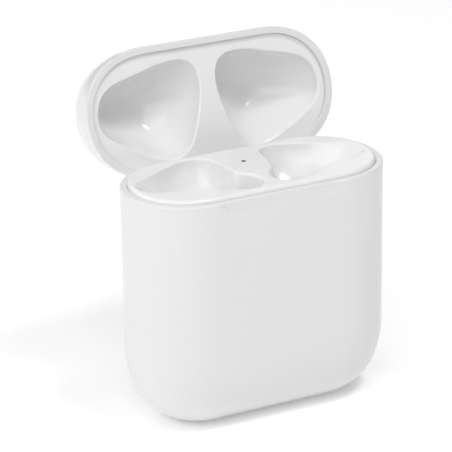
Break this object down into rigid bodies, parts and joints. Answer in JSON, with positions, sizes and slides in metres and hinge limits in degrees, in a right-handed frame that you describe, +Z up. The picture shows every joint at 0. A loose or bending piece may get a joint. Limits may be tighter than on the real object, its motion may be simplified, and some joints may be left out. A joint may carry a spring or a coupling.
{
  "type": "wireless earbuds case",
  "caption": "Small rounded oval charging case with a back-hinged lid standing open over two wells with stem bores and a port in its foot.",
  "frame": {"origin": "centre of the charging port's mouth, in the plane of the bottom resting face", "axes": "+X along the case, +Y towards the hinge, +Z up from the resting face"},
  "size_m": [0.0444, 0.0386, 0.0574],
  "materials": {
    "gloss_white_shell": "gloss",
    "gloss_white_liner": "gloss",
    "gloss_white_button": "gloss",
    "foam": "matte",
    "cell_can": "satin",
    "magnet_nickel": "satin",
    "steel_polished": "polished",
    "steel_satin": "satin",
    "shield_tin": "satin",
    "spring_steel": "satin",
    "contact_gold": "polished",
    "circuit_board": "satin",
    "flex_film": "satin",
    "carrier_black": "matte",
    "light_pipe": "gloss",
    "lamp": "satin",
    "switch_metal": "satin",
    "component_black": "matte"
  },
  "bodies": {
    "base": {"base_liner": "gloss_white_liner", "base_magnet_left": "magnet_nickel", "base_magnet_right": "magnet_nickel", "base_shell": "gloss_white_shell", "battery_foam_left": "foam", "battery_foam_right": "foam", "battery_left": "cell_can", "battery_right": "cell_can", "battery_socket": "component_black", "board_coil": "component_black", "board_shield": "shield_tin", "button_switch": "switch_metal", "contact_barrels_left": "contact_gold", "contact_barrels_right": "contact_gold", "contact_carrier_left": "carrier_black", "contact_carrier_right": "carrier_black", "contact_flex": "flex_film", "contact_spring_left_front": "spring_steel", "contact_spring_left_rear": "spring_steel", "contact_spring_right_front": "spring_steel", "contact_spring_right_rear": "spring_steel", "hinge_base_bracket": "steel_polished", "hinge_pin": "steel_polished", "hinge_screws_base": "steel_polished", "lid_sensor": "component_black", "light_board": "circuit_board", "main_board": "circuit_board", "port_board": "circuit_board", "port_bracket": "steel_satin", "port_screws": "steel_satin", "port_shell": "steel_satin", "port_tongue": "component_black", "port_trim_ring": "steel_satin", "power_chip": "component_black", "sensor_flex": "flex_film", "status_led": "lamp", "status_light_pipe": "light_pipe", "stem_magnet_left": "magnet_nickel", "stem_magnet_right": "magnet_nickel"},
    "lid": {"lid_shell": "gloss_white_shell", "lid_liner": "gloss_white_liner", "hinge_lid_leaf": "steel_polished", "hinge_screws_lid": "steel_polished", "lid_magnet_left": "magnet_nickel", "lid_magnet_right": "magnet_nickel"},
    "setup_button": {"setup_button": "gloss_white_button"},
    "contact_pin_left_front": {"contact_pin_left_front": "contact_gold"},
    "contact_pin_left_rear": {"contact_pin_left_rear": "contact_gold"},
    "contact_pin_right_front": {"contact_pin_right_front": "contact_gold"},
    "contact_pin_right_rear": {"contact_pin_right_rear": "contact_gold"}
  },
  "joints": [
    {"name": "lid_hinge", "type": "hinge", "parent": "base", "child": "lid", "pos_m": [0, 0.00987, 0.03815], "axis": [-1, 0, 0], "range_deg": [-106, 0]},
    {"name": "setup_button_press", "type": "slide", "parent": "base", "child": "setup_button", "axis": [0, -1, 0], "range_m": [0, 0.0003], "stiffness_N_per_m": 1500, "springref_m": -0.0003},
    {"name": "contact_pin_left_front_travel", "type": "slide", "parent": "base", "child": "contact_pin_left_front", "axis": [0, 0, -1], "range_m": [0, 0.0005], "stiffness_N_per_m": 200, "springref_m": -0.0005, "deforming": ["contact_spring_left_front"]},
    {"name": "contact_pin_left_rear_travel", "type": "slide", "parent": "base", "child": "contact_pin_left_rear", "axis": [0, 0, -1], "range_m": [0, 0.0005], "stiffness_N_per_m": 200, "springref_m": -0.0005, "deforming": ["contact_spring_left_rear"]},
    {"name": "contact_pin_right_front_travel", "type": "slide", "parent": "base", "child": "contact_pin_right_front", "axis": [0, 0, -1], "range_m": [0, 0.0005], "stiffness_N_per_m": 200, "springref_m": -0.0005, "deforming": ["contact_spring_right_front"]},
    {"name": "contact_pin_right_rear_travel", "type": "slide", "parent": "base", "child": "contact_pin_right_rear", "axis": [0, 0, -1], "range_m": [0, 0.0005], "stiffness_N_per_m": 200, "springref_m": -0.0005, "deforming": ["contact_spring_right_rear"]}
  ]
}
